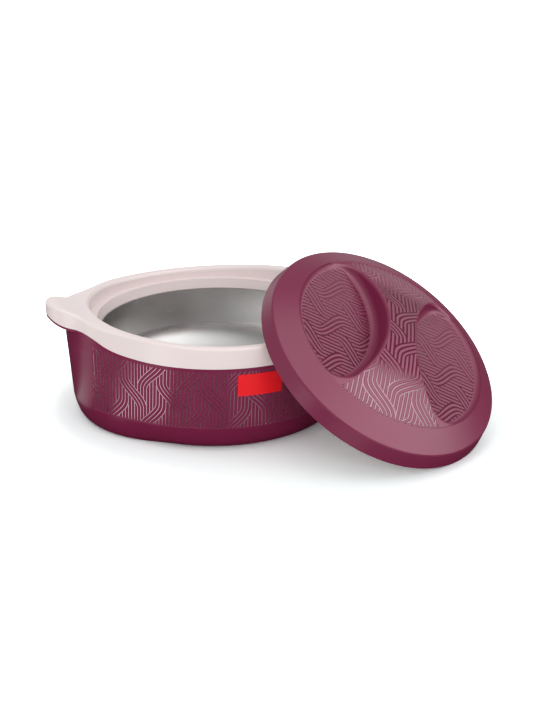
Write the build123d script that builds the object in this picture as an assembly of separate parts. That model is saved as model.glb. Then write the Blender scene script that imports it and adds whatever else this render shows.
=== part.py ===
"""Insulated chapati casserole: a foam-filled body with two raised ears, and a lift-off lid.

Units are millimetres.  The origin is on the floor under the middle of the body, +Z is up,
the ears lie along X and the front of the body faces -Y.  The lid is off: its rim stands on
the floor at the front right and its underside leans on the edge of the collar.

The mouth of the steel bowl sets the plan of the body: throat, ledge, lip, wall, base and
ears follow it outwards by named widths.  The lid follows the lip that it drops into.
"""
from build123d import *
import os
from math import acos, cos, radians, sin, sqrt, tan

# --- heights of the body -----------------------------------------------------------------
COLLAR_FOOT = 67.8         # parting line between shell and collar at the front
CREASE_HEIGHT = 18.5       # edge between the wall and the rounded bottom band
COLLAR_HEIGHT = 15.8       # collar from its foot to its crest, at the front
COLLAR_TOP = COLLAR_FOOT + COLLAR_HEIGHT
SEAT_DEPTH = 8.1           # ledge that carries the lid, below the crest
SEAT_HEIGHT = COLLAR_TOP - SEAT_DEPTH
BOWL_DROP = 0.8            # top of the steel bowl below the parting line
BOWL_TOP = COLLAR_FOOT - BOWL_DROP

# --- steel bowl ----------------------------------------------------------------------------
STEEL = 0.6
BOWL_MOUTH_RADIUS = 92.6   # inside
BOWL_DRAFT = 4.0           # how much the bowl draws in from its mouth to its floor
BOWL_FLOOR = 15.0
BOWL_CORNER = 24.0
BOWL_FLANGE = 4.4          # width of the flange under the collar
BOWL_HEM = 2.2             # turned-down edge of the flange

# --- radii of the collar and the wall, from the bowl outwards ------------------------------
THROAT_OVERLAP = 1.0       # throat's foot stands this far outside the bowl's mouth
THROAT_FOOT_RADIUS = BOWL_MOUTH_RADIUS + THROAT_OVERLAP
THROAT_FLARE = 1.4
THROAT_RADIUS = THROAT_FOOT_RADIUS + THROAT_FLARE
LEDGE_WIDTH = 6.0
LIP_RADIUS = THROAT_RADIUS + LEDGE_WIDTH
CREST_WIDTH = 8.2          # top of the collar between its lip and its outer side
BODY_RADIUS = LIP_RADIUS + CREST_WIDTH

# --- body plan: a circle drawn out to a rounded nose under each ear ------------------------
NOSE_SHARPNESS = 33.0      # the nose is rounded by this much less than the circle
NOSE_RADIUS = BODY_RADIUS - NOSE_SHARPNESS
NOSE_BULGE = 11.5          # how far the plan reaches past the circle along X
WALL_TAPER = 0.070         # how much the wall draws in for each millimetre down
SHELL_WALL = 3.0

# --- bottom band and base of the moulded outer shell ----------------------------------------
BASE_DRAW = 19.2           # the base ends this far inside the wall's top
BASE_RADIUS = BODY_RADIUS - BASE_DRAW
BASE_BULGE = 15.0          # bulge of the plan at the floor
BAND_FULLNESS = 0.74       # share of the band's width that is reached by BAND_MIDDLE
BAND_MIDDLE = 0.38         # share of the band's height at which its curve is steered
FOOT_WIDTH = 7.0           # flat ring that stands on the floor
FOOT_HEIGHT = 2.0          # the base inside the ring is raised by this
BASE_WALL = 2.6
CENTRE_PAD_RADIUS = 18.0   # pad in the middle of the base, level with the foot ring
TONGUE_HEIGHT = 5.0        # lip of the shell that stands up inside the collar

# --- collar: saddle-shaped ring with an ear at each end --------------------------------------
COLLAR_WALL = 1.6          # outer skirt and ears
COLLAR_SKIN = 2.4          # top face
CREST_ROUND = 2.0          # rounding of the crest of the collar, outside
LIP_ROUND = 3.2            # rounding of the lip towards the lid's recess
EAR_LENGTH = 26.8          # tip of an ear past the circle of the body
EAR_REACH = BODY_RADIUS + EAR_LENGTH
EAR_TIP_RADIUS = 25.0      # rounding of an ear's tip
EAR_ROOT_ROUND = 18.0      # hollow curve where an ear grows out of the ring
SADDLE_RISE = (            # crest of the ring above COLLAR_TOP, by share of the body's radius
    (0.0, 0.0), (0.25, 0.3), (0.47, 1.3), (0.65, 2.8), (0.82, 4.2))
EAR_RISE = (               # the same over an ear, by distance past the body's radius
    (-6.5, 5.9), (0.8, 7.9), (6.0, 9.9), (12.0, 12.4), (18.0, 14.6), (23.0, 15.6), (27.5, 15.2))
SADDLE_LIFT = (            # foot of the ring above COLLAR_FOOT
    (0.0, 0.0), (0.35, 0.2), (0.65, 1.2), (0.80, 2.6))
EAR_LIFT = (               # the same under an ear
    (-6.5, 7.3), (0.8, 12.0), (6.0, 14.0), (15.0, 15.8), (21.0, 18.0), (27.5, 23.0))
FLANGE_WALL = 1.8          # shell's own plate under an ear
FLANGE_SETBACK = 0.3       # the plate stays this far inside the ear's outline

# --- insulation --------------------------------------------------------------------------------
FOAM_GAP = 0.3             # foam to its neighbours
FOAM_DROP = 6.0            # top of the foam below the top of the bowl
FOAM_TOP = BOWL_TOP - FOAM_DROP

# --- lid -----------------------------------------------------------------------------------------
LID_SLIP = 1.8             # lid's rim to the lip of the collar
LID_RIM_RADIUS = LIP_RADIUS - LID_SLIP
LID_DRAFT = 2.8            # side wall draws in by this from rim to shoulder
LID_SHOULDER_RADIUS = LID_RIM_RADIUS - LID_DRAFT
LID_SHOULDER_HEIGHT = 12.0
BAND_WIDTH = 17.2          # smooth sloping band round the deck
LID_DECK_RADIUS = LID_SHOULDER_RADIUS - BAND_WIDTH
BAND_RISE = 9.8
LID_BAND_HEIGHT = LID_SHOULDER_HEIGHT + BAND_RISE
LID_STEP = 1.0             # drop from the band to the deck
CROWN_RISE = 15.4          # top of the arched grip above the band
LID_CROWN = LID_BAND_HEIGHT + CROWN_RISE
LID_WALL = 2.2
LID_SHOULDER_ROUND = 2.2
WELL_FLOOR_DROP = 3.2      # floor of the finger wells below the band's inner edge
WELL_FLOOR = LID_BAND_HEIGHT - WELL_FLOOR_DROP
WELL_BITE = 0.9            # the wells cut this far into the band
WELL_OUTER_RADIUS = LID_DECK_RADIUS + WELL_BITE
WELL_INNER_RADIUS = 85.0   # curve of the side next to the grip
GRIP_HALF_WIDTH = 12.4     # at the waist of the grip
WELL_CORNER = 19.0
WELL_FLOOR_ROUND = 6.0
GRIP_ROUND = 2.4           # rounding along both crests of the grip
LINER_WALL = 1.8
LINER_RISE = 1.6           # underside of the liner above the lid's rim
PLUG_SLIDE = 2.6           # ring of the liner to the throat of the collar
PLUG_RADIUS = THROAT_RADIUS - PLUG_SLIDE
PLUG_DEPTH = 3.6
PLUG_WALL = 2.0

# --- filling plugs and front plate -------------------------------------------------------------------
FILL_PLUG_RADIUS = 8.0
FILL_PLUG_PLACE = 50.0     # base plug's distance behind the middle of the body
FILL_PLUG_HEAD = 11.0
FILL_PLUG_HEAD_WALL = 1.2
PLUG_SLIP = 0.15           # plug to its hole
PLATE_WIDTH = 34.4
PLATE_HEIGHT = 17.3
PLATE_DROP = 13.4          # middle of the plate below the parting line
PLATE_MIDDLE = COLLAR_FOOT - PLATE_DROP
PLATE_THICKNESS = 0.25
PLATE_CORNER = 1.6
PLATE_GLUE = 0.05

# --- fits ----------------------------------------------------------------------------------------------
JOINT_GAP = 0.2            # moulded parts that meet at a parting line
LEAN_GAP = 0.3             # lid to the crest that it leans on

# --- the lid's place -----------------------------------------------------------------------------------
LID_TILT = 37.6            # degrees between the lid's axis and the vertical
LID_BEARING = -61.4        # degrees about Z, from +X, in which the lid slopes down
LID_OFFSET = 34.0          # sideways distance of the lid's axis from the body's axis
GRIP_TURN = 132.8          # degrees about the lid's axis, from downhill to the grip

# --- bounds used to pick the crest's edges out of the collar -------------------------------------------
STEEPEST_CREST = 0.75      # an edge that climbs faster than this is a corner of an ear
CREST_SLACK = 3.0          # the crest's edges lie no further than this below its height

SHELL_BLANK_TOP = COLLAR_TOP + 30.0   # above every parting line
HIGH = COLLAR_TOP + 90.0   # taller than the casserole: used for blanks that are cut back


def plan(radius, bulge=NOSE_BULGE, nose=NOSE_RADIUS):
    """Outline of the body: a circle with a nose at each end, joined by tangent lines."""
    middle = radius + bulge - nose
    turn = acos((radius - nose) / middle)
    main = (radius * cos(turn), radius * sin(turn))
    end = (middle + nose * cos(turn), nose * sin(turn))
    tip = middle + nose
    edges = []
    for side in (1, -1):
        edges.append(ThreePointArc((side * main[0], side * main[1]), (0, side * radius),
                                   (-side * main[0], side * main[1])))
        edges.append(Line((-side * main[0], side * main[1]), (-side * end[0], side * end[1])))
        edges.append(ThreePointArc((-side * end[0], side * end[1]), (-side * tip, 0),
                                   (-side * end[0], -side * end[1])))
        edges.append(Line((-side * end[0], -side * end[1]), (-side * main[0], -side * main[1])))
    return make_face(edges)


def wall_radius(height):
    """Radius of the outer wall at a height, at the front: tapered up to the collar, then upright."""
    return BODY_RADIUS - WALL_TAPER * max(0.0, COLLAR_FOOT - height)


def body_blank(inset, floor, top):
    """Solid bounded by the outside of the body moved in by inset, from floor to top."""
    crease = wall_radius(CREASE_HEIGHT)
    middle = BASE_RADIUS + BAND_FULLNESS * (crease - BASE_RADIUS)
    half = CREASE_HEIGHT * BAND_MIDDLE
    bulge = BASE_BULGE + BAND_FULLNESS * (NOSE_BULGE - BASE_BULGE)
    nose = NOSE_RADIUS - inset
    taper_top = min(top, COLLAR_FOOT)
    band = loft([Pos(0, 0, floor) * plan(BASE_RADIUS - inset, BASE_BULGE, nose),
                 Pos(0, 0, floor + half) * plan(middle - inset, bulge, nose),
                 Pos(0, 0, CREASE_HEIGHT) * plan(crease - inset, nose=nose)])
    wall = loft([Pos(0, 0, CREASE_HEIGHT) * plan(crease - inset, nose=nose),
                 Pos(0, 0, taper_top) * plan(wall_radius(taper_top) - inset, nose=nose)], ruled=True)
    blank = band + wall
    if top > COLLAR_FOOT:
        blank = blank + column(plan(BODY_RADIUS - inset, nose=nose), COLLAR_FOOT, top)
    return blank


def side_points(saddle, ear):
    """Points of a side line: over the ring by share of the body's radius, then over an ear."""
    return [(share * BODY_RADIUS, rise) for share, rise in saddle] + [(BODY_RADIUS + past, rise)
                                                                      for past, rise in ear]


def crest_solid(shift=0.0):
    """Solid under the line of the collar's crest."""
    return side_profile(side_points(SADDLE_RISE, EAR_RISE), COLLAR_TOP, shift)


def foot_solid(shift=0.0):
    """Solid under the line of the collar's foot."""
    return side_profile(side_points(SADDLE_LIFT, EAR_LIFT), COLLAR_FOOT, shift)


def side_profile(points, base, shift):
    """Solid under a smooth line in the XZ plane, the same on both sides of the middle."""
    right = [(x, base + rise + shift) for x, rise in points]
    left = [(-x, z) for x, z in reversed(right[1:])]
    line = Spline(left + right)
    last = right[-1]
    edges = [line, Line(last, (HIGH, last[1])), Line((HIGH, last[1]), (HIGH, -HIGH)),
             Line((HIGH, -HIGH), (-HIGH, -HIGH)), Line((-HIGH, -HIGH), (-HIGH, last[1])),
             Line((-HIGH, last[1]), (-last[0], last[1]))]
    face = Plane.XZ * make_face(edges)
    return extrude(face, amount=HIGH, both=True)


def ear_root():
    """Middle of the hollow arc between the nose and an ear's tip, measured from the body's middle."""
    nose_middle = BODY_RADIUS + NOSE_BULGE - NOSE_RADIUS
    apart = EAR_REACH - EAR_TIP_RADIUS - nose_middle
    to_nose = NOSE_RADIUS + EAR_ROOT_ROUND
    to_tip = EAR_TIP_RADIUS + EAR_ROOT_ROUND
    along = (to_nose ** 2 - to_tip ** 2 + apart ** 2) / (2 * apart)
    return nose_middle + along, sqrt(to_nose ** 2 - along ** 2)


def arc_between(start, end, centre, radius):
    """Arc of a radius about a centre, from one point to another by the short way."""
    middle = ((start[0] + end[0]) / 2 - centre[0], (start[1] + end[1]) / 2 - centre[1])
    reach = radius / sqrt(middle[0] ** 2 + middle[1] ** 2)
    return ThreePointArc(start, (centre[0] + middle[0] * reach, centre[1] + middle[1] * reach), end)


def toward(start, end, distance):
    """Point at a distance from start on the line to end."""
    length = sqrt((end[0] - start[0]) ** 2 + (end[1] - start[1]) ** 2)
    share = distance / length
    return (start[0] + (end[0] - start[0]) * share, start[1] + (end[1] - start[1]) * share)


def collar_plan(inset=0.0):
    """Outline of the collar from above: the body's plan with a round-tipped ear at each end."""
    nose_middle = BODY_RADIUS + NOSE_BULGE - NOSE_RADIUS
    turn = acos((BODY_RADIUS - NOSE_RADIUS) / nose_middle)
    radius = BODY_RADIUS - inset
    nose = NOSE_RADIUS - inset
    tip_middle = (EAR_REACH - EAR_TIP_RADIUS, 0)
    root = ear_root()
    main = (radius * cos(turn), radius * sin(turn))
    start = (nose_middle + nose * cos(turn), nose * sin(turn))
    leave = toward((nose_middle, 0), root, nose)
    join = toward(tip_middle, root, EAR_TIP_RADIUS - inset)
    tip = (EAR_REACH - inset, 0)
    quarter = [Line(main, start), arc_between(start, leave, (nose_middle, 0), nose),
               arc_between(leave, join, root, EAR_ROOT_ROUND + inset),
               arc_between(join, tip, tip_middle, EAR_TIP_RADIUS - inset)]
    edges = [ThreePointArc(main, (0, radius), (-main[0], main[1])),
             ThreePointArc((-main[0], -main[1]), (0, -radius), (main[0], -main[1]))]
    for edge in quarter:
        back = mirror(edge, Plane.XZ)
        edges.extend([edge, back, mirror(edge, Plane.YZ), mirror(back, Plane.YZ)])
    return make_face(edges)


def ring(profile):
    """Solid of revolution of a closed outline given as (radius, height) points."""
    return revolve(Plane.XZ * make_face(Polyline(*profile, close=True)), Axis.Z)


def disc(radius, low, high):
    """Upright cylinder between two heights."""
    return Pos(0, 0, low) * Cylinder(radius, high - low, align=(Align.CENTER, Align.CENTER, Align.MIN))


def column(outline, low=0.0, high=HIGH):
    """Upright solid on a plane outline, between two heights."""
    return extrude(Pos(0, 0, low) * outline, amount=high - low)


# --- body -----------------------------------------------------------------------------------

def outer_shell():
    """Moulded outside: tapered wall, foot ring, tongue for the collar, a plate under each ear."""
    parting = foot_solid()
    wall = body_blank(0, 0, SHELL_BLANK_TOP) & parting
    tongue_line = foot_solid(TONGUE_HEIGHT)
    tongue = body_blank(COLLAR_WALL + JOINT_GAP, 0, SHELL_BLANK_TOP) & tongue_line
    plates = column(collar_plan(FLANGE_SETBACK)) & parting
    plates = plates - foot_solid(-FLANGE_WALL)
    cavity = body_blank(SHELL_WALL, FOOT_HEIGHT + BASE_WALL, SHELL_BLANK_TOP)
    recess = column(plan(BASE_RADIUS - FOOT_WIDTH, BASE_BULGE, NOSE_RADIUS - FOOT_WIDTH), 0, FOOT_HEIGHT)
    recess = recess - disc(CENTRE_PAD_RADIUS, 0, FOOT_HEIGHT)
    filling_hole = Pos(0, FILL_PLUG_PLACE) * disc(FILL_PLUG_RADIUS, 0, FOOT_HEIGHT + BASE_WALL)
    return wall + tongue + plates - cavity - recess - filling_hole


def seat_core(top):
    """Solid inside the collar that its ledge, lip and throat are cut from, up to a height."""
    outer = LIP_RADIUS + COLLAR_SKIN
    under = SEAT_HEIGHT - COLLAR_SKIN
    foot = BOWL_TOP + JOINT_GAP
    return ring([(0, foot), (THROAT_FOOT_RADIUS + COLLAR_SKIN, foot),
                 (THROAT_RADIUS + COLLAR_SKIN, under), (outer, under), (outer, top), (0, top)])


def rim_collar():
    """Saddle-shaped cover of the rim: skirt, crest, ledge for the lid, throat and two ears."""
    block = (column(collar_plan()) & crest_solid()) - foot_solid(JOINT_GAP)
    block = block + seat_core(COLLAR_TOP - COLLAR_SKIN)
    block = block - ring([(0, 0), (THROAT_FOOT_RADIUS, 0), (THROAT_FOOT_RADIUS, BOWL_TOP),
                          (THROAT_RADIUS, SEAT_HEIGHT), (LIP_RADIUS, SEAT_HEIGHT),
                          (LIP_RADIUS, HIGH), (0, HIGH)])
    block = fillet(crest_edges(block, outer=True), CREST_ROUND)
    block = fillet(crest_edges(block, outer=False), LIP_ROUND)
    skin = crest_solid(-COLLAR_SKIN)
    hollow = column(collar_plan(COLLAR_WALL)) & skin
    return block - (hollow - seat_core(HIGH))


def crest_height(x):
    """Height of the collar's crest at a distance from the middle of the body."""
    points = side_points(SADDLE_RISE, EAR_RISE)
    for (x0, z0), (x1, z1) in zip(points, points[1:]):
        if x0 <= x <= x1:
            return COLLAR_TOP + z0 + (z1 - z0) * (x - x0) / (x1 - x0)
    return COLLAR_TOP + points[-1][1]


def crest_edges(block, outer):
    """Edges between the top face of the collar and its outer side, or its lip."""
    picked = ShapeList()
    for edge in block.edges():
        middle = edge @ 0.5
        upright = abs((edge % 0.5).Z) > STEEPEST_CREST
        low = middle.Z < crest_height(min(abs(middle.X), EAR_REACH)) - CREST_SLACK
        outside = Vector(middle.X, middle.Y).length > LIP_RADIUS + CREST_WIDTH / 2
        if not upright and not low and outside == outer:
            picked.append(edge)
    return picked


def bowl_cup(growth, top):
    """Round cup with the bowl's inside, moved out by growth, filled up to top."""
    floor = BOWL_FLOOR - growth
    slope = BOWL_DRAFT / (BOWL_TOP - BOWL_FLOOR)
    mouth = BOWL_MOUTH_RADIUS + growth + slope * (top - BOWL_TOP)
    foot = BOWL_MOUTH_RADIUS - BOWL_DRAFT + growth - slope * growth
    cup = ring([(0, floor), (foot, floor), (mouth, top), (0, top)])
    corner = cup.edges().filter_by(GeomType.CIRCLE).sort_by(Axis.Z)[0]
    return fillet(corner, BOWL_CORNER + growth)


def steel_bowl():
    """Drawn steel bowl with a flat flange and a turned-down hem under the collar."""
    cup = bowl_cup(STEEL, BOWL_TOP) - bowl_cup(0, BOWL_TOP)
    inner = BOWL_MOUTH_RADIUS + STEEL / 2
    outer = BOWL_MOUTH_RADIUS + STEEL + BOWL_FLANGE
    flange = ring([(inner, BOWL_TOP - STEEL), (outer - STEEL, BOWL_TOP - STEEL),
                   (outer - STEEL, BOWL_TOP - BOWL_HEM), (outer, BOWL_TOP - BOWL_HEM),
                   (outer, BOWL_TOP), (inner, BOWL_TOP)])
    return cup + flange


def body_foam():
    """Rigid foam between the steel bowl and the outer shell."""
    blank = body_blank(SHELL_WALL + FOAM_GAP, FOOT_HEIGHT + BASE_WALL + FOAM_GAP, FOAM_TOP)
    return blank - bowl_cup(STEEL + FOAM_GAP, FOAM_TOP)


def filling_plug(floor, wall):
    """Push-in plug for a filling hole: a head under the wall and a shank through it."""
    head = disc(FILL_PLUG_HEAD, floor - FILL_PLUG_HEAD_WALL, floor)
    head = fillet(head.edges().sort_by(Axis.Z)[0], FILL_PLUG_HEAD_WALL / 2)
    return head + disc(FILL_PLUG_RADIUS - PLUG_SLIP, floor, floor + wall)


def front_plate():
    """Thin plain sticker that follows the wall at the middle of the front."""
    sheet = body_blank(-PLATE_GLUE - PLATE_THICKNESS, 0, COLLAR_FOOT) - body_blank(-PLATE_GLUE, 0, COLLAR_FOOT)
    outline = RectangleRounded(PLATE_WIDTH, PLATE_HEIGHT, PLATE_CORNER)
    punch = extrude(Plane.XZ * Pos(0, PLATE_MIDDLE) * outline, amount=BODY_RADIUS + NOSE_BULGE)
    return sheet & punch


# --- lid, drawn upright with its rim at height 0 -------------------------------------------------

def lid_side_radius(height):
    """Outer radius of the lid's side wall at a height above the rim."""
    return LID_RIM_RADIUS + (LID_SHOULDER_RADIUS - LID_RIM_RADIUS) * height / LID_SHOULDER_HEIGHT


def lid_blank(inset):
    """Solid lid without wells, its outside moved in by inset."""
    band_slope = (LID_BAND_HEIGHT - LID_SHOULDER_HEIGHT) / (LID_SHOULDER_RADIUS - LID_DECK_RADIUS)
    drop = inset * sqrt(1 + band_slope ** 2)
    shoulder = (LID_SHOULDER_RADIUS - inset, LID_SHOULDER_HEIGHT + inset * band_slope - drop)
    edge = (LID_DECK_RADIUS, LID_BAND_HEIGHT - drop)
    deck = (LID_DECK_RADIUS - LID_STEP, LID_BAND_HEIGHT - LID_STEP - drop)
    crown = (0, LID_CROWN - inset)
    lines = [Line((0, 0), (LID_RIM_RADIUS - inset, 0)), Line((LID_RIM_RADIUS - inset, 0), shoulder),
             Line(shoulder, edge), Line(edge, deck), TangentArc(crown, deck, tangent=(1, 0)),
             Line(crown, (0, 0))]
    solid = revolve(Plane.XZ * make_face(lines), Axis.Z)
    corner = [e for e in solid.edges().filter_by(GeomType.CIRCLE)
              if abs(e.radius - shoulder[0]) < 0.01]
    return fillet(corner, LID_SHOULDER_ROUND)


def well_blank(growth):
    """Blank of both finger wells, moved out by growth: lens-shaped columns with rounded corners."""
    outer = Circle(WELL_OUTER_RADIUS + growth)
    blanks = Part()
    for side in (-1, 1):
        inner = Pos(0, side * (GRIP_HALF_WIDTH + WELL_INNER_RADIUS)) * Circle(WELL_INNER_RADIUS + growth)
        well = column(outer & inner, WELL_FLOOR - growth, LID_CROWN + 1)
        well = fillet(well.edges().filter_by(Axis.Z), WELL_CORNER + growth)
        floor_edges = well.faces().sort_by(Axis.Z)[0].edges()
        well = fillet(floor_edges, WELL_FLOOR_ROUND + growth)
        blanks = blanks + well
    return blanks


def deck_height(radius):
    """Height of the arched deck at a distance from the lid's axis."""
    edge = LID_DECK_RADIUS - LID_STEP
    sag = LID_CROWN - (LID_BAND_HEIGHT - LID_STEP)
    ball = (edge ** 2 + sag ** 2) / (2 * sag)
    return LID_CROWN - ball + sqrt(ball ** 2 - radius ** 2)


def grip_edges(solid):
    """Edges in which the inner sides of the finger wells meet the arched deck."""
    picked = ShapeList()
    for edge in solid.edges().filter_by(GeomType.BSPLINE):
        middle = edge @ 0.5
        reach = Vector(middle.X, middle.Y).length
        corner = WELL_OUTER_RADIUS - WELL_CORNER / 2
        if reach < corner and abs(middle.Z - deck_height(reach)) < LID_STEP / 10:
            picked.append(edge)
    return picked


def lid_shell():
    """Moulded outside of the lid: side wall, sloping band, arched grip and two finger wells."""
    outside = lid_blank(0) - well_blank(0)
    outside = fillet(grip_edges(outside), GRIP_ROUND)
    inside = lid_blank(LID_WALL) - well_blank(LID_WALL)
    return outside - inside


def lid_liner():
    """Underside of the lid, with the ring that enters the throat of the collar."""
    top = LINER_RISE + LINER_WALL
    radius = lid_side_radius(top) - LID_WALL - JOINT_GAP
    plate = disc(radius, LINER_RISE, top)
    plug = disc(PLUG_RADIUS, -PLUG_DEPTH, LINER_RISE) - disc(PLUG_RADIUS - PLUG_WALL, -PLUG_DEPTH, LINER_RISE)
    plug = fillet(plug.faces().sort_by(Axis.Z)[0].edges(), PLUG_WALL / 3)
    return plate + plug - disc(FILL_PLUG_RADIUS, LINER_RISE, top)


def lid_foam():
    """Rigid foam between the lid's shell and its liner."""
    inset = LID_WALL + FOAM_GAP
    floor = LINER_RISE + LINER_WALL + FOAM_GAP
    return (lid_blank(inset) - well_blank(inset)) - disc(LID_RIM_RADIUS, 0, floor)


def lid_reach(height):
    """Distance along the bearing at which the lid's underside just clears the rounded crest."""
    slant = radians(LID_TILT)
    crest = crest_height(BODY_RADIUS * cos(radians(LID_BEARING))) - CREST_ROUND
    support = sin(slant) * (BODY_RADIUS - CREST_ROUND) + cos(slant) * crest + CREST_ROUND
    return (support + LEAN_GAP - LINER_RISE - cos(slant) * height) / sin(slant)


def lid_place():
    """Where the lid lies: its rim on the floor, its underside against the collar's crest."""
    height = LID_RIM_RADIUS * sin(radians(LID_TILT))
    return (Rot(0, 0, LID_BEARING) * Pos(lid_reach(height), LID_OFFSET, height)
            * Rot(0, LID_TILT, 0) * Rot(0, 0, GRIP_TURN))


def build():
    """Every piece by the name of its node."""
    place = lid_place()
    return {
        "outer_shell": outer_shell(),
        "rim_collar": rim_collar(),
        "steel_bowl": steel_bowl(),
        "body_foam": body_foam(),
        "base_plug": Pos(0, FILL_PLUG_PLACE) * filling_plug(FOOT_HEIGHT, BASE_WALL),
        "front_plate": front_plate(),
        "lid_shell": place * lid_shell(),
        "lid_liner": place * lid_liner(),
        "lid_foam": place * lid_foam(),
        "lid_plug": place * filling_plug(LINER_RISE, LINER_WALL),
    }


def write(pieces):
    """Write each piece to its own STEP file."""
    os.makedirs("parts", exist_ok=True)
    for name, piece in pieces.items():
        export_step(piece, "parts/" + name + ".step")
        print(name, len(piece.solids()), round(piece.volume))


if __name__ == "__main__":
    write(build())
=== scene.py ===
# %% [markdown]
# # An insulated casserole with its lid leaning against it
#
# The casserole is a table pot for flat breads.  Its body is a tapered plastic shell filled with
# foam around a steel bowl, and a pale collar with two raised ears closes the rim.  The lid is
# loose.  This lesson dresses the finished CAD model: it adds the light, the finishes and the
# fine surface detail, and it leaves every size as it is.  Lengths are in metres.

# %% Load the CAD model
import bpy
from math import cos, pi, radians, sin
from mathutils import Matrix, Vector


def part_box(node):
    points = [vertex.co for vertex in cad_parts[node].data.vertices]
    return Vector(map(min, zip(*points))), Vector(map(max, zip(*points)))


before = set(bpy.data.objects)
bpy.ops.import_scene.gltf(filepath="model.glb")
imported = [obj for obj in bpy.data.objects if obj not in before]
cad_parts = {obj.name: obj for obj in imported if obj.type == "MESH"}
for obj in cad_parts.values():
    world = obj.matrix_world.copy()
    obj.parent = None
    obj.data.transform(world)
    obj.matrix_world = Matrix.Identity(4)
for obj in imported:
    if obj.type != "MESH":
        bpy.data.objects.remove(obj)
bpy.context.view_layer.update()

# %% [markdown]
# ## Where the lid lies
#
# The body stands with its middle above the origin.  The lid lies on a slope, so what is drawn on
# it needs the lid's own axes: X along its grip, Z out of its deck, and its middle in the plane of
# its rim.  The box of the flat liner tells whether these values still fit the model.

# %% The lid's own axes
LID_TILT = radians(37.6)
LID_BEARING = radians(-61.4)
GRIP_TURN = radians(132.8)
LID_MIDDLE = Vector((0.09567, -0.10444, 0.06053))
LID_PLACE = (Matrix.Translation(LID_MIDDLE) @ Matrix.Rotation(LID_BEARING, 4, "Z")
             @ Matrix.Rotation(LID_TILT, 4, "Y") @ Matrix.Rotation(GRIP_TURN, 4, "Z"))
liner_low, liner_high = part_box("lid_liner")
print("liner's middle:", [round(c, 4) for c in (liner_low + liner_high) / 2],
      "lid's middle:", [round(c, 4) for c in LID_MIDDLE])

# %% [markdown]
# ## Camera
#
# A long lens about a metre away keeps the round rim free of distortion.  The camera looks down
# by about 21 degrees, from a little to the left of the front.

# %% Make the camera
CAMERA_PLACE = (-0.2735, -0.8795, 0.3832)
CAMERA_AIM = (0.0412, -0.0150, 0.0343)
SENSOR_WIDTH = 36.0     # millimetres, as is the lens
LENS = 80.0


def face(thing, place, aim):
    """Put a camera or a lamp at a place and turn it towards a point."""
    thing.location = place
    thing.rotation_euler = (Vector(aim) - Vector(place)).to_track_quat("-Z", "Y").to_euler()


scene = bpy.context.scene
camera_data = bpy.data.cameras.new("camera")
camera_data.sensor_fit = "HORIZONTAL"
camera_data.sensor_width = SENSOR_WIDTH
camera_data.lens = LENS
camera = bpy.data.objects.new("camera", camera_data)
face(camera, CAMERA_PLACE, CAMERA_AIM)
scene.collection.objects.link(camera)
scene.camera = camera
scene.view_settings.view_transform = "Standard"
print("camera at", CAMERA_PLACE, "lens", LENS)


# %% [markdown]
# ## Node helpers
#
# Materials are long to write node by node.  These helpers add a node, set its values and join
# its inputs, so that a material reads like a formula.

# %% Add a node and join it
def set_inputs(tree, node, inputs):
    """Give each named or numbered input of a node a value or a link."""
    for key, value in inputs.items():
        if isinstance(value, bpy.types.NodeSocket):
            tree.links.new(value, node.inputs[key])
        else:
            node.inputs[key].default_value = value


def add_node(tree, kind, inputs, **settings):
    """Add a node, set its properties and then its inputs."""
    node = tree.nodes.new(kind)
    for name, value in settings.items():
        setattr(node, name, value)
    set_inputs(tree, node, inputs)
    return node


def calc(tree, operation, *values, clamp=False):
    """One Math node: an operation on numbers or sockets; gives its output socket."""
    node = add_node(tree, "ShaderNodeMath", dict(enumerate(values)),
                    operation=operation, use_clamp=clamp)
    return node.outputs[0]


print("helpers that add nodes ready")


# %% [markdown]
# Sums, products and masks are needed most, so each has a short name.

# %% Sums, products and masks
def plus(tree, first, second):
    """Sum of two numbers or sockets."""
    return calc(tree, "ADD", first, second)


def minus(tree, first, second):
    """First less second."""
    return calc(tree, "SUBTRACT", first, second)


def times(tree, first, second):
    """Product of two numbers or sockets."""
    return calc(tree, "MULTIPLY", first, second)


def over(tree, first, second):
    """First divided by second."""
    return calc(tree, "DIVIDE", first, second)


def absolute(tree, value):
    """A value without its sign."""
    return calc(tree, "ABSOLUTE", value)


def length_of(tree, x, y):
    """Distance of a point from the axis."""
    return calc(tree, "SQRT", plus(tree, times(tree, x, x), times(tree, y, y)))


def wrap(tree, value, half):
    """Bring a value into the range from -half to half by whole turns of that range."""
    return calc(tree, "WRAP", value, half, -half)


def step_between(tree, value, low, high):
    """0 at low, 1 at high, smooth in between."""
    node = add_node(tree, "ShaderNodeMapRange", {"Value": value, "From Min": low, "From Max": high},
                    interpolation_type="SMOOTHSTEP")
    return node.outputs[0]


def between(tree, mask, low, high):
    """Map a mask of 0 to 1 to a range."""
    node = add_node(tree, "ShaderNodeMapRange", {"Value": mask, "To Min": low, "To Max": high})
    return node.outputs[0]


def switch(tree, mask, first, second):
    """The first value where a mask is 0, and the second where it is 1."""
    return plus(tree, first, times(tree, mask, minus(tree, second, first)))


print("helpers for sums, products and masks ready")


# %% [markdown]
# A group is a small machine that several materials share.  Both groups of this lesson give out
# only masks and heights; the shader itself stays in each material.

# %% Groups and materials
FLOAT = "NodeSocketFloat"
VECTOR = "NodeSocketVector"


def new_group(name, inputs, outputs):
    """Empty shader group; gives the tree, what comes in and what goes out."""
    tree = bpy.data.node_groups.new(name, "ShaderNodeTree")
    for label, kind in inputs.items():
        tree.interface.new_socket(label, in_out="INPUT", socket_type=kind)
    for label in outputs:
        tree.interface.new_socket(label, in_out="OUTPUT", socket_type=FLOAT)
    return tree, tree.nodes.new("NodeGroupInput").outputs, tree.nodes.new("NodeGroupOutput").inputs


def use_group(tree, group, inputs):
    """Place a group in a material; gives its outputs."""
    return add_node(tree, "ShaderNodeGroup", inputs, node_tree=group).outputs


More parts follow.
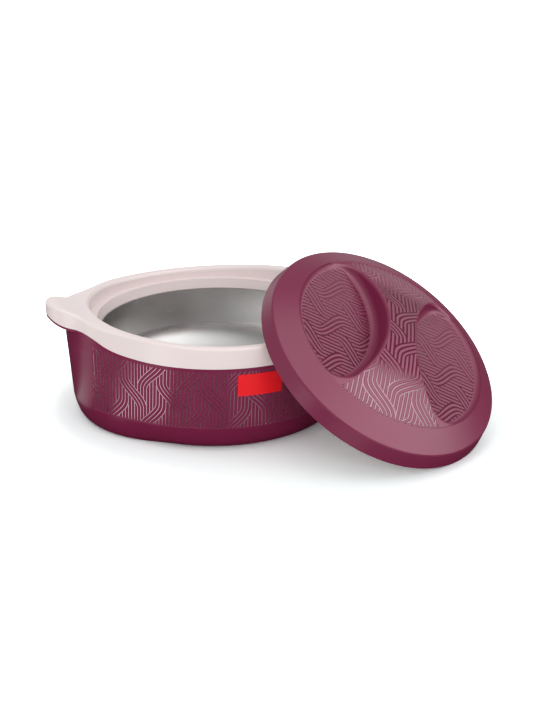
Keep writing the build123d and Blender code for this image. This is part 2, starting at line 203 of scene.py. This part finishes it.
def new_material(name):
    """Material with a Principled shader; gives the material, its tree and the shader."""
    material = bpy.data.materials.new(name)
    material.use_nodes = True
    tree = material.node_tree
    return material, tree, tree.nodes["Principled BSDF"]


def mix_colour(tree, amount, first, second):
    """Mix two colours by a mask."""
    node = add_node(tree, "ShaderNodeMix", {0: amount, 6: first, 7: second}, data_type="RGBA")
    return node.outputs[2]


def object_vector(tree):
    """Object coordinates, which are the model's own coordinates here."""
    return tree.nodes.new("ShaderNodeTexCoord").outputs["Object"]


def axes_of(tree, vector):
    """The X, Y and Z of a vector."""
    return tuple(add_node(tree, "ShaderNodeSeparateXYZ", {0: vector}).outputs)


def noise(tree, vector, scale, detail, roughness):
    """Random waves about 0.5; scale is in waves per metre."""
    node = add_node(tree, "ShaderNodeTexNoise",
                    {"Vector": vector, "Scale": scale, "Detail": detail, "Roughness": roughness})
    return node.outputs["Fac"]


def relief_normal(tree, height, depth):
    """Normal of a fine relief; depth is how far a height of 1 stands up, in metres."""
    node = add_node(tree, "ShaderNodeBump", {"Height": height, "Distance": depth})
    return node.outputs["Normal"]


print("helpers for groups and materials ready")


# %% [markdown]
# ## The braided relief
#
# The wall and the lid are moulded with fine upright ribs.  Bands of three ribs leave one column,
# swing across in an S and run on in the next column, so that the wall looks plaited.  The relief
# is worked out in a cell that repeats.  Along a band the ribs keep their distance from the
# band's middle line, measured square to it, so the band keeps its width on the slant.  Because
# it shifts by a whole number of ribs, it joins the upright ribs without a break.

# %% One band
RIBS_PER_CELL = 12.0
BAND_SHIFT = 6.0            # ribs that a band moves across
BAND_LENGTH = 0.68          # share of a cell that it needs for that
BAND_HALF_WIDTH = 1.65      # in ribs: three ribs and a little of the grooves beside them
HALF_RIB = 0.5


def band(tree, across, along, aspect, direction):
    """One S-shaped band: how far a point is from its middle line, and whether it is on the band.

    The middle line moves by BAND_SHIFT ribs while `along` goes over BAND_LENGTH of a cell,
    slowly at both ends (3t^2 - 2t^3).  Its slope is that curve's rate, 6t(1 - t), times the
    width of a rib in cells, and the distance across is multiplied by the slope's cosine.
    Grooves lie at whole numbers, so a band of three ribs runs half a rib beside that line.
    """
    start = plus(tree, over(tree, along, BAND_LENGTH), 0.5)
    t = calc(tree, "MAXIMUM", calc(tree, "MINIMUM", start, 1.0), 0.0)
    swing = times(tree, times(tree, t, t), minus(tree, 3.0, times(tree, t, 2.0)))
    away = minus(tree, across, times(tree, swing, direction * BAND_SHIFT))
    away = wrap(tree, away, RIBS_PER_CELL / 2)
    slope = times(tree, times(tree, t, minus(tree, 1.0, t)), aspect)
    slope = times(tree, slope, 6 * BAND_SHIFT / BAND_LENGTH)
    away = over(tree, away, calc(tree, "SQRT", plus(tree, times(tree, slope, slope), 1.0)))
    inside = calc(tree, "LESS_THAN", absolute(tree, minus(tree, away, HALF_RIB)), BAND_HALF_WIDTH)
    on = calc(tree, "LESS_THAN", absolute(tree, minus(tree, start, 0.5)), 0.5)
    return away, times(tree, inside, on)


print("a band moves by", BAND_SHIFT, "ribs over", BAND_LENGTH, "of a cell")

# %% Braid group
GROOVE_FLAT = 0.55          # share of a groove's width that is its flat floor
LINE_STARTS = 0.80          # a groove's own colour starts at this share of its half width
LINE_FULL = 0.45            # and is full from here inwards


def make_braid():
    """Group: from ribs across and cells along to the height and the line of the grooves.

    Groove is a groove's width in ribs, and Aspect is a rib's width in cells.  Height is 0 in a
    groove and 1 on a rib, and Line is 1 on a groove's floor.
    """
    tree, inlet, outlet = new_group(
        "braid", {"Across": FLOAT, "Along": FLOAT, "Groove": FLOAT, "Aspect": FLOAT},
        ("Height", "Line"))
    across, along, aspect = inlet["Across"], inlet["Along"], inlet["Aspect"]
    down = wrap(tree, along, 0.5)
    up = wrap(tree, plus(tree, along, 0.5), 0.5)
    away_down, on_down = band(tree, across, down, aspect, 1.0)
    away_up, on_up = band(tree, across, up, aspect, -1.0)
    phase = switch(tree, on_down, across, away_down)
    phase = switch(tree, on_up, phase, away_up)
    from_groove = absolute(tree, wrap(tree, phase, HALF_RIB))
    share = over(tree, from_groove, times(tree, inlet["Groove"], 0.5))
    tree.links.new(step_between(tree, share, GROOVE_FLAT, 1.0), outlet["Height"])
    tree.links.new(step_between(tree, share, LINE_STARTS, LINE_FULL), outlet["Line"])
    return tree


BRAID = make_braid()
print("braid group has", len(BRAID.nodes), "nodes")

# %% [markdown]
# ## Moulded plastic
#
# Injection-moulded polypropylene is never quite even: the tool leaves a fine grain, the melt
# leaves slow waves in the gloss, and the pigment is not spread evenly.  One group gives a mask
# for each, and every plastic of the casserole uses it with its own strength.

# %% Moulding group
MOULDING_WAVES = {          # waves per metre, detail, roughness
    "Grain": (2500.0, 2.0, 0.55),
    "Gloss": (38.0, 4.0, 0.6),
    "Tint": (9.0, 2.0, 0.5),
}


def make_moulding():
    """Group: tool grain as a height, and slow waves of the gloss and of the colour."""
    tree, inlet, outlet = new_group("moulding", {"Vector": VECTOR}, MOULDING_WAVES)
    for label, waves in MOULDING_WAVES.items():
        tree.links.new(noise(tree, inlet["Vector"], *waves), outlet[label])
    return tree


MOULDING = make_moulding()
print("moulding group gives", list(MOULDING_WAVES))

# %% [markdown]
# ## Plastic of the wall
#
# The ribs count round the body by angle, and the cells go by height.  The wall is not round on
# plan, so ribs of one angle would lean; a small shear with height sets them upright.

# %% Lay the braid round the wall
WALL_RADIUS = 0.1092
RIBS_ROUND_WALL = 252.0
WALL_RIB = 0.00272          # width of a rib
WALL_CELL = 0.0361          # height of a cell
WALL_GROOVE = 0.23          # width of a groove, in ribs
PATTERN_TURN = 7.4          # ribs
PATTERN_RISE = 0.180        # cells
PATTERN_MIDDLE = 0.045      # height at which the shear is nought
RIB_LEAN = 0.82


def wall_braid(tree, x, y, z):
    """The braid as it lies round the wall."""
    angle = calc(tree, "ARCTAN2", y, x)
    lean = times(tree, calc(tree, "SINE", times(tree, angle, 2.0)),
                 times(tree, minus(tree, z, PATTERN_MIDDLE), RIB_LEAN))
    across = times(tree, minus(tree, angle, lean), RIBS_ROUND_WALL / (2 * pi))
    return use_group(tree, BRAID, {
        "Across": plus(tree, across, PATTERN_TURN),
        "Along": plus(tree, over(tree, z, -WALL_CELL), PATTERN_RISE),
        "Groove": WALL_GROOVE,
        "Aspect": WALL_RIB / WALL_CELL})


print("a rib by the wall's radius:", round(2 * pi * WALL_RADIUS / RIBS_ROUND_WALL, 5),
      "and as drawn:", WALL_RIB)

# %% [markdown]
# The braid stops a little above the crease of the rounded foot and a little under the collar.
# That upper edge follows the foot of the collar, which rises towards the ears, so a curve node
# gives the rise by the distance from the middle, as a share of the wall's radius.  Under each ear
# a smooth panel stands a little proud of the ribs.  It widens upwards, and its upper corners are
# round.

# %% Where the wall is plain
PATTERN_LOW = 0.0205
PATTERN_LOW_EDGE = 0.0008
PATTERN_TOP = 0.0652
PATTERN_TOP_EDGE = 0.0005
COLLAR_RISE = 0.010         # what a height of 1 on the curve below stands for
COLLAR_CURVE = ((0.0, 0.0), (0.35, 0.02), (0.65, 0.12), (0.80, 0.26), (0.94, 0.73))
PANEL_HALF_FOOT = 0.0290    # half the panel's width at the floor's level
PANEL_FLARE = 0.150         # growth of that half for each metre up
PANEL_TOP = 0.0790
PANEL_CORNER = 0.0090
PANEL_EDGE = 0.0009


def collar_rise(tree, x):
    """How far the collar's foot has risen at a distance from the middle, in metres."""
    share = over(tree, absolute(tree, x), WALL_RADIUS)
    node = add_node(tree, "ShaderNodeFloatCurve", {"Value": share})
    points = node.mapping.curves[0].points
    points[0].location = COLLAR_CURVE[0]
    points[1].location = COLLAR_CURVE[-1]
    for place in COLLAR_CURVE[1:-1]:
        points.new(*place)
    node.mapping.extend = "HORIZONTAL"
    node.mapping.update()
    return times(tree, node.outputs[0], COLLAR_RISE)


def under_collar(tree, x, z):
    """1 below the plain edge under the collar."""
    level = minus(tree, z, collar_rise(tree, x))
    return step_between(tree, level, PATTERN_TOP + PATTERN_TOP_EDGE, PATTERN_TOP)


def beside_panel(tree, y, z):
    """0 on the plain panel under an ear, and 1 beside it."""
    in_corner = plus(tree, minus(tree, z, PANEL_TOP), PANEL_CORNER)
    bend = over(tree, calc(tree, "MAXIMUM", in_corner, 0.0), PANEL_CORNER)
    half_width = plus(tree, PANEL_HALF_FOOT, times(tree, z, PANEL_FLARE))
    half_width = minus(tree, half_width, times(tree, times(tree, bend, bend), PANEL_CORNER))
    return step_between(tree, minus(tree, absolute(tree, y), half_width), 0.0, PANEL_EDGE)


print("braid from", PATTERN_LOW, "to", PATTERN_TOP, "m, and to",
      round(PATTERN_TOP + COLLAR_RISE * COLLAR_CURVE[-1][1], 4), "m beside the panels")

# %% [markdown]
# The steel mould is blasted where it makes the ribs and left polished where it makes the
# grooves.  So the ribs are satin, and the flat floors of the grooves mirror a lamp as thin bright
# lines.  The relief bends the normal.  The mask of the groove floors lowers the roughness and
# brings in a pale, metallic shade, because a line this thin would not show its mirror otherwise.

# %% Wall material
WINE = (0.196, 0.0145, 0.059, 1.0)
WINE_DEEP = (0.175, 0.0115, 0.050, 1.0)
BURNISHED = (0.56, 0.40, 0.45, 1.0)
WALL_RELIEF = 0.00012       # height of a rib
PANEL_STEP = 0.8            # the panel stands this far above the ribs, in heights of a rib
GRAIN_SHARE = 0.015         # height of the tool grain, in heights of a rib
WALL_TINT = 0.35            # largest share of the deep wine above the crease
WALL_ROUGHNESS = (0.25, 0.35)
RIB_SATIN = 0.30            # roughness that the ribs add
GROOVE_GLOSS = 0.48         # roughness that the floors of the grooves take away
WALL_SPECULAR = 0.28


def make_wall_material():
    """Wine-red plastic with the braid on the upright wall."""
    material, tree, shader = new_material("wine_wall")
    vector = object_vector(tree)
    x, y, z = axes_of(tree, vector)
    braid = wall_braid(tree, x, y, z)
    above_crease = step_between(tree, z, PATTERN_LOW - PATTERN_LOW_EDGE, PATTERN_LOW)
    shown = times(tree, above_crease, beside_panel(tree, y, z))
    shown = times(tree, shown, under_collar(tree, x, z))
    line = times(tree, braid["Line"], shown)
    moulding = use_group(tree, MOULDING, {"Vector": vector})
    ribs = times(tree, minus(tree, braid["Height"], 1.0 + PANEL_STEP), shown)
    height = plus(tree, ribs, times(tree, moulding["Grain"], GRAIN_SHARE))
    # Deep wine comes at random above the crease. Below the crease the whole foot band takes the
    # deep wine as painted shade, where the foot turns down.
    deep = calc(tree, "MAXIMUM", between(tree, moulding["Tint"], 0.0, WALL_TINT),
                minus(tree, 1.0, above_crease))
    satin = minus(tree, times(tree, shown, RIB_SATIN), times(tree, line, GROOVE_GLOSS))
    set_inputs(tree, shader, {
        "Base Color": mix_colour(tree, line, mix_colour(tree, deep, WINE, WINE_DEEP), BURNISHED),
        "Metallic": line,
        "Specular IOR Level": WALL_SPECULAR,
        "Roughness": plus(tree, between(tree, moulding["Gloss"], *WALL_ROUGHNESS), satin),
        "Normal": relief_normal(tree, height, WALL_RELIEF)})
    return material


WINE_WALL = make_wall_material()
print("wall material has", len(WINE_WALL.node_tree.nodes), "nodes")

# %% [markdown]
# ## Plastic of the lid
#
# The arched deck of the lid carries the braid along the grip, and the floors of the two finger
# wells carry it across, while the sloping band and the walls of the wells are plain.  A Mapping
# node turns the model's coordinates into the lid's own, so one material can tell by position
# which surface it is on.

# %% Where the braid lies on the lid
DECK_RADIUS = 0.0782
DECK_FADE = 0.0016          # the deck's lines fade out over this at its edge
DECK_FROM_WELL = (0.0018, 0.0026)       # they start between these distances from a well
WELL_OUTER_RADIUS = 0.0801
WELL_INNER_RADIUS = 0.0850
WELL_FLOOR_ROUND = 0.0060   # rounding between a well's floor and its wall
WELL_FLOOR_EDGE = 0.0012
WELL_FLOOR = 0.0186         # height of the wells' floors above the rim
WELL_FLOOR_ABOVE = (0.0007, 0.0002)     # the lines end between these heights above the floor
GRIP_HALF_WIDTH = 0.0124
LID_RIB = 0.0033
LID_CELL = 0.0330
LID_GROOVE = 0.52


def lid_vector(tree):
    """The model's coordinates turned into the lid's: X along the grip, Z out of the deck."""
    back = LID_PLACE.inverted()
    mapping = add_node(tree, "ShaderNodeMapping",
                       {"Vector": object_vector(tree), "Rotation": back.to_euler("XYZ"),
                        "Location": back.to_translation()}, vector_type="POINT")
    return mapping.outputs[0]


def lid_masks(tree, x, y, z):
    """1 on the deck, and 1 on the floors of the wells."""
    radius = length_of(tree, x, y)
    aside = minus(tree, absolute(tree, y), GRIP_HALF_WIDTH + WELL_INNER_RADIUS)
    in_well = calc(tree, "MINIMUM", minus(tree, WELL_OUTER_RADIUS, radius),
                   minus(tree, WELL_INNER_RADIUS, length_of(tree, x, aside)))
    flat = step_between(tree, in_well, WELL_FLOOR_ROUND - WELL_FLOOR_EDGE, WELL_FLOOR_ROUND)
    above, level = WELL_FLOOR_ABOVE
    low = step_between(tree, z, WELL_FLOOR + above, WELL_FLOOR + level)
    near, clear = DECK_FROM_WELL
    beside = step_between(tree, in_well, -near, -clear)
    within = step_between(tree, radius, DECK_RADIUS, DECK_RADIUS - DECK_FADE)
    return times(tree, beside, within), times(tree, flat, low)


def lid_braid(tree, across, along):
    """The braid on the lid, from distances across and along its ribs."""
    return use_group(tree, BRAID, {
        "Across": over(tree, across, LID_RIB), "Along": over(tree, along, LID_CELL),
        "Groove": LID_GROOVE, "Aspect": LID_RIB / LID_CELL})


print("lid: rib pitch", LID_RIB * 1000, "mm")

# %% [markdown]
# The grooves of the lid are deeper than those of the wall and look dark.  At one end of the grip
# they carry a painted glint, a bright metallic shade, and at the other end a painted sheen, a
# paler wine; the dark lines of the wells fade towards that end, also as painted sheen.

# %% Lid material
WINE_GROOVE = (0.085, 0.0040, 0.024, 1.0)
WINE_PAINTED_GLINT = (0.225, 0.140, 0.165, 1.0)
WINE_PAINTED_SHEEN = (0.300, 0.095, 0.150, 1.0)
LID_RELIEF = 0.00045        # height of a rib
LID_TINT = 0.3
LID_ROUGHNESS = (0.3, 0.4)
LID_SPECULAR = 0.7
GROOVE_METAL = 0.92         # metallic share of a dark groove
PAINTED_ENDS_FROM = 0.034           # the deck's ends carry painted highlight from here
PAINTED_ENDS_TO = 0.054             # and fully from here
WELL_SHEEN_FROM = -0.040
WELL_SHEEN_TO = 0.050
WELL_SHEEN_LEFT = 0.45       # share of a line that is left at the wells' end with the painted sheen


def make_lid_material():
    """Wine-red plastic with the braid on the deck and, turned, on the floors of the wells."""
    material, tree, shader = new_material("wine_lid")
    x, y, z = axes_of(tree, lid_vector(tree))
    on_deck, on_floor = lid_masks(tree, x, y, z)
    deck = lid_braid(tree, y, x)
    floor = lid_braid(tree, x, y)
    # Painted sheen: the dark lines of the wells fade towards the deck's paler end.
    well_sheen = step_between(tree, x, WELL_SHEEN_FROM, WELL_SHEEN_TO)
    well_line = times(tree, times(tree, floor["Line"], on_floor),
                      between(tree, well_sheen, 1.0, WELL_SHEEN_LEFT))
    line = plus(tree, times(tree, deck["Line"], on_deck), well_line)
    # Painted highlight at the deck's two ends: a glint of pale metal in the grooves at one end, a
    # sheen of paler wine at the other.
    glint_end = times(tree, step_between(tree, x, -PAINTED_ENDS_FROM, -PAINTED_ENDS_TO), on_deck)
    pale = times(tree, step_between(tree, x, PAINTED_ENDS_FROM, PAINTED_ENDS_TO), on_deck)
    ribs = plus(tree, times(tree, minus(tree, deck["Height"], 1.0), on_deck),
                times(tree, minus(tree, floor["Height"], 1.0), on_floor))
    moulding = use_group(tree, MOULDING, {"Vector": object_vector(tree)})
    height = plus(tree, ribs, times(tree, moulding["Grain"], GRAIN_SHARE))
    colour = mix_colour(tree, between(tree, moulding["Tint"], 0.0, LID_TINT), WINE, WINE_DEEP)
    groove = mix_colour(tree, pale, mix_colour(tree, glint_end, WINE_GROOVE, WINE_PAINTED_GLINT), WINE_PAINTED_SHEEN)
    metal = times(tree, between(tree, glint_end, GROOVE_METAL, 1.0), minus(tree, 1.0, pale))
    set_inputs(tree, shader, {
        "Base Color": mix_colour(tree, line, colour, groove),
        "Metallic": times(tree, line, metal),
        "Specular IOR Level": LID_SPECULAR,
        "Roughness": between(tree, moulding["Gloss"], *LID_ROUGHNESS),
        "Normal": relief_normal(tree, height, LID_RELIEF)})
    return material


WINE_LID = make_lid_material()
print("lid material has", len(WINE_LID.node_tree.nodes), "nodes")

# %% [markdown]
# ## Pale plastic
#
# The collar, the liner of the lid and its plug are a warm off-white with a soft gloss.  The
# collar is the part that shows, so its mould is polished a little finer.

# %% Pale plastic
CREAM = (0.825, 0.720, 0.710, 1.0)
CREAM_WARM = (0.800, 0.690, 0.675, 1.0)
CREAM_TINT = 0.5
CREAM_GRAIN = 0.000012      # height of the tool grain
COLLAR_ROUGHNESS = (0.26, 0.36)
LINER_ROUGHNESS = (0.36, 0.48)


def make_pale_material(name, roughness):
    """Off-white plastic with a soft gloss."""
    material, tree, shader = new_material(name)
    moulding = use_group(tree, MOULDING, {"Vector": object_vector(tree)})
    warm = between(tree, moulding["Tint"], 0.0, CREAM_TINT)
    set_inputs(tree, shader, {
        "Base Color": mix_colour(tree, warm, CREAM, CREAM_WARM),
        "Roughness": between(tree, moulding["Gloss"], *roughness),
        "Normal": relief_normal(tree, moulding["Grain"], CREAM_GRAIN)})
    return material


PALE_COLLAR = make_pale_material("pale_collar", COLLAR_ROUGHNESS)
PALE_LINER = make_pale_material("pale_liner", LINER_ROUGHNESS)
print("pale plastics:", PALE_COLLAR.name, PALE_LINER.name)

# %% [markdown]
# ## Steel
#
# The bowl is stainless steel that was drawn and then polished on a spindle, so its fine marks run
# in circles: their noise goes by radius and height only.  Its bottom is brushed to a duller satin.

# %% Steel of the bowl
STEEL_DARK = (0.60, 0.595, 0.59, 1.0)
STEEL_BRIGHT = (0.70, 0.695, 0.69, 1.0)
STEEL_MARKS = (2200.0, 3.0, 0.7)        # waves per metre, detail, roughness
STEEL_SMEARS = (30.0, 4.0, 0.5)
STEEL_MARK_DEPTH = 0.000010
STEEL_ROUGHNESS = (0.20, 0.32)
STEEL_SATIN = 0.30          # roughness that the bottom adds
STEEL_SATIN_TOP = 0.036
STEEL_SATIN_FULL = 0.022


def make_steel_material():
    """Polished steel with circular marks round the bowl's axis, and satin on its bottom."""
    material, tree, shader = new_material("spun_steel")
    vector = object_vector(tree)
    x, y, z = axes_of(tree, vector)
    profile = add_node(tree, "ShaderNodeCombineXYZ", {0: length_of(tree, x, y), 1: z})
    marks = noise(tree, profile.outputs[0], *STEEL_MARKS)
    smears = noise(tree, vector, *STEEL_SMEARS)
    satin = times(tree, step_between(tree, z, STEEL_SATIN_TOP, STEEL_SATIN_FULL), STEEL_SATIN)
    set_inputs(tree, shader, {
        "Base Color": mix_colour(tree, smears, STEEL_DARK, STEEL_BRIGHT),
        "Metallic": 1.0,
        "Roughness": plus(tree, between(tree, smears, *STEEL_ROUGHNESS), satin),
        "Normal": relief_normal(tree, marks, STEEL_MARK_DEPTH)})
    return material


SPUN_STEEL = make_steel_material()
print("satin below", STEEL_SATIN_TOP, "m")

# %% [markdown]
# ## Sticker and foam
#
# The sticker is a plain red film.  The foam is poured in as a liquid and sets hard.  None of it
# shows from outside, and a cut through it would be matt with small cells.

# %% Sticker and foam
FILM_RED = (0.92, 0.008, 0.016, 1.0)
FILM_RED_DEEP = (0.87, 0.006, 0.012, 1.0)
FILM_ROUGHNESS = (0.2, 0.3)
FILM_SPECULAR = 0.35
FOAM_PALE = (0.62, 0.5, 0.26, 1.0)
FOAM_BRIGHT = (0.78, 0.68, 0.42, 1.0)
FOAM_CELLS = 900.0          # cells per metre
FOAM_CELL_DEPTH = 0.0004
FOAM_ROUGHNESS = 0.95


def make_sticker_material():
    """Plain glossy red film."""
    material, tree, shader = new_material("red_film")
    moulding = use_group(tree, MOULDING, {"Vector": object_vector(tree)})
    set_inputs(tree, shader, {
        "Base Color": mix_colour(tree, moulding["Tint"], FILM_RED, FILM_RED_DEEP),
        "Roughness": between(tree, moulding["Gloss"], *FILM_ROUGHNESS),
        "Specular IOR Level": FILM_SPECULAR})
    return material


def make_foam_material():
    """Matt rigid foam with open cells."""
    material, tree, shader = new_material("rigid_foam")
    cells = add_node(tree, "ShaderNodeTexVoronoi",
                     {"Vector": object_vector(tree), "Scale": FOAM_CELLS}).outputs["Distance"]
    set_inputs(tree, shader, {
        "Base Color": mix_colour(tree, cells, FOAM_PALE, FOAM_BRIGHT),
        "Roughness": FOAM_ROUGHNESS,
        "Normal": relief_normal(tree, cells, FOAM_CELL_DEPTH)})
    return material


RED_FILM = make_sticker_material()
RIGID_FOAM = make_foam_material()
print("materials so far:", len(bpy.data.materials))

# %% [markdown]
# ## Dress the CAD parts
#
# The CAD parts have the right shape, so they stay, and each gets its finish.

# %% Assign the finishes
FINISHES = {
    "outer_shell": WINE_WALL, "base_plug": WINE_WALL, "rim_collar": PALE_COLLAR,
    "steel_bowl": SPUN_STEEL, "body_foam": RIGID_FOAM, "front_plate": RED_FILM,
    "lid_shell": WINE_LID, "lid_liner": PALE_LINER, "lid_foam": RIGID_FOAM, "lid_plug": PALE_LINER,
}
for node_name, finish in FINISHES.items():
    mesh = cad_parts[node_name].data
    mesh.materials.clear()
    mesh.materials.append(finish)
print("finishes:", len(FINISHES))

# %% [markdown]
# ## Floor
#
# The pot stands on a white sweep.  Near the pot the floor is lit like any pale surface, so it
# keeps the shadow, and a little light of its own, only for the camera, lifts it to white.  Its
# colour for the camera is a little cold, against the red light that the pot throws on it.
#
# An upright wall seen from above mirrors the floor and not the lamps.  So the floor also carries
# the mirror images of three strip lamps and of one far glow, which only glossy rays see.

# %% Mirror images on the floor
MIRRORED_DIM = 0.01         # glow of the floor where no lamp is mirrored
MIRRORED_STRIPS = (         # degrees on plan, and strength
    dict(middle=172.0, half_width=11.0, strength=1.10),
    dict(middle=212.0, half_width=15.0, strength=1.50),
    dict(middle=270.0, half_width=13.0, strength=0.40),
)
STRIP_CORE = 0.5            # share of a strip's width that glows in full
STRIPS_NEAR = 0.125
STRIPS_FROM = 0.150
FAR_GLOW = dict(middle=-40.0, half_width=45.0, strength=1.7)
FAR_GLOW_NEAR = 0.8
FAR_GLOW_FROM = 2.0


def first_glossy(tree, rays):
    """1 for a glossy ray that has met no matt surface before, so that it shows a mirror image."""
    return times(tree, rays["Is Glossy Ray"], calc(tree, "LESS_THAN", rays["Diffuse Depth"], 0.5))


def strip_image(tree, angle, middle, half_width, strength):
    """Glow of one mirrored lamp: a soft-edged sector of the floor about a direction."""
    away = absolute(tree, wrap(tree, minus(tree, angle, radians(middle)), pi))
    core = radians(half_width * STRIP_CORE)
    return times(tree, step_between(tree, away, radians(half_width), core), strength)


def mirrored_lamps(tree, x, y):
    """Glow of the floor to glossy rays: the strips, the far glow and a dim rest."""
    angle = calc(tree, "ARCTAN2", y, x)
    radius = length_of(tree, x, y)
    strips = 0.0
    for strip in MIRRORED_STRIPS:
        strips = plus(tree, strip_image(tree, angle, **strip), strips)
    strips = times(tree, strips, step_between(tree, radius, STRIPS_NEAR, STRIPS_FROM))
    far_glow = times(tree, strip_image(tree, angle, **FAR_GLOW),
                     step_between(tree, radius, FAR_GLOW_NEAR, FAR_GLOW_FROM))
    return plus(tree, plus(tree, strips, far_glow), MIRRORED_DIM)


print("mirrored lamps:", len(MIRRORED_STRIPS) + 1)

# %% Floor
WHITE = (1.0, 1.0, 1.0, 1.0)
FLOOR_SIZE = 30.0
FLOOR_SEEN = (1.10, 1.18, 1.175, 1.0)
FLOOR_WHITE = (0.73, 0.75, 0.75, 1.0)
FLOOR_MIRRORED = (0.02, 0.02, 0.02, 1.0)
FLOOR_LIFT = 0.04           # light of its own near the pot
SWEEP_NEAR = 0.125          # the shadow fades out between these distances from the pot
SWEEP_FAR = 0.175
LID_ON_PLAN = (0.105, -0.115)


def from_pot(tree, x, y):
    """Distance on plan from the line that joins the middles of the body and the lid."""
    along_x, along_y = LID_ON_PLAN
    share = plus(tree, times(tree, x, along_x), times(tree, y, along_y))
    share = calc(tree, "DIVIDE", share, along_x ** 2 + along_y ** 2, clamp=True)
    return length_of(tree, minus(tree, x, times(tree, share, along_x)),
                     minus(tree, y, times(tree, share, along_y)))


def make_floor_material():
    """Matt white to the camera, darker to glossy rays, with a real shadow near the pot."""
    material, tree, shader = new_material("white_sweep")
    x, y, _ = axes_of(tree, object_vector(tree))
    rays = tree.nodes.new("ShaderNodeLightPath").outputs
    glossy = first_glossy(tree, rays)
    colour = mix_colour(tree, glossy, FLOOR_WHITE, FLOOR_MIRRORED)
    set_inputs(tree, shader, {
        "Base Color": mix_colour(tree, rays["Is Camera Ray"], colour, FLOOR_SEEN),
        "Roughness": 1.0,
        "Specular IOR Level": 0.0})
    far = step_between(tree, from_pot(tree, x, y), SWEEP_NEAR, SWEEP_FAR)
    seen = times(tree, rays["Is Camera Ray"], between(tree, far, FLOOR_LIFT, 1.0))
    strength = plus(tree, seen, times(tree, glossy, mirrored_lamps(tree, x, y)))
    glow = add_node(tree, "ShaderNodeEmission", {"Color": WHITE, "Strength": strength})
    both = add_node(tree, "ShaderNodeAddShader", {0: shader.outputs[0], 1: glow.outputs[0]})
    tree.links.new(both.outputs[0], tree.nodes["Material Output"].inputs["Surface"])
    return material


def make_floor():
    """Large flat square under the pot."""
    half = FLOOR_SIZE / 2
    corners = [(-half, -half, 0), (half, -half, 0), (half, half, 0), (-half, half, 0)]
    mesh = bpy.data.meshes.new("floor")
    mesh.from_pydata(corners, [], [(0, 1, 2, 3)])
    mesh.materials.append(make_floor_material())
    floor = bpy.data.objects.new("floor", mesh)
    scene.collection.objects.link(floor)


make_floor()
print("floor:", FLOOR_SIZE, "m square")

# %% [markdown]
# ## Room and lamps
#
# The room is an even white light.  Glossy rays see a dim room with five soft windows instead,
# because a plain white room would lay an even grey veil on the plastic and flatten its shape.

# %% Room
ROOM_LIGHT = 0.93
ROOM_DIM = 0.24
WINDOWS = {                 # degrees, and strength
    "front right": dict(turn=-43.0, rise=25.0, edge=46.0, core=12.0, strength=2.6),
    "ceiling": dict(turn=-60.0, rise=74.0, edge=39.0, core=18.0, strength=1.30),
    "right": dict(turn=14.0, rise=36.0, edge=25.0, core=6.0, strength=1.15),
    "back": dict(turn=92.0, rise=4.0, edge=34.0, core=16.0, strength=0.60),
    "far right": dict(turn=48.0, rise=12.0, edge=24.0, core=8.0, strength=0.26),
}


def window(tree, direction, turn, rise, edge, core, strength):
    """Glow of a round window at a turn and a rise, full in its core and soft to its edge."""
    level = cos(radians(rise))
    toward = (cos(radians(turn)) * level, sin(radians(turn)) * level, sin(radians(rise)))
    near = add_node(tree, "ShaderNodeVectorMath", {0: direction, 1: toward},
                    operation="DOT_PRODUCT").outputs["Value"]
    glow = step_between(tree, near, cos(radians(edge)), cos(radians(core)))
    return times(tree, glow, strength)


def make_room():
    """World: white to the camera, an even light, and a few soft windows to glossy rays."""
    world = bpy.data.worlds.new("room")
    world.use_nodes = True
    tree = world.node_tree
    rays = tree.nodes.new("ShaderNodeLightPath").outputs
    direction = tree.nodes.new("ShaderNodeTexCoord").outputs["Generated"]
    mirrored = ROOM_DIM
    for values in WINDOWS.values():
        mirrored = plus(tree, window(tree, direction, **values), mirrored)
    light = switch(tree, first_glossy(tree, rays), ROOM_LIGHT, mirrored)
    set_inputs(tree, tree.nodes["Background"], {
        "Color": WHITE, "Strength": calc(tree, "MAXIMUM", light, rays["Is Camera Ray"])})
    scene.world = world


make_room()
print("windows:", list(WINDOWS))

# %% [markdown]
# Two large lamps, which glossy rays don't see, light the front and the top.

# %% Lamps
LAMPS = {
    "overhead": dict(place=(-0.20, -0.30, 1.5), aim=(0.0, 0.0, 0.05),
                     width=0.7, height=0.7, radiance=0.8),
    "front": dict(place=(-0.15, -1.60, 0.75), aim=(0.0, 0.0, 0.08),
                  width=1.0, height=0.6, radiance=3.1),
}


def make_lamp(name, place, aim, width, height, radiance):
    """Rectangular soft lamp that faces a point; its power follows from its brightness and area."""
    data = bpy.data.lights.new(name, "AREA")
    data.shape = "RECTANGLE"
    data.size = width
    data.size_y = height
    data.energy = radiance * pi * width * height
    lamp = bpy.data.objects.new(name, data)
    face(lamp, place, aim)
    lamp.visible_glossy = False
    scene.collection.objects.link(lamp)


for lamp_name, values in LAMPS.items():
    make_lamp(lamp_name, **values)
print("lamps:", list(LAMPS))


# %% [markdown] Done


print("scene dressed and lit")
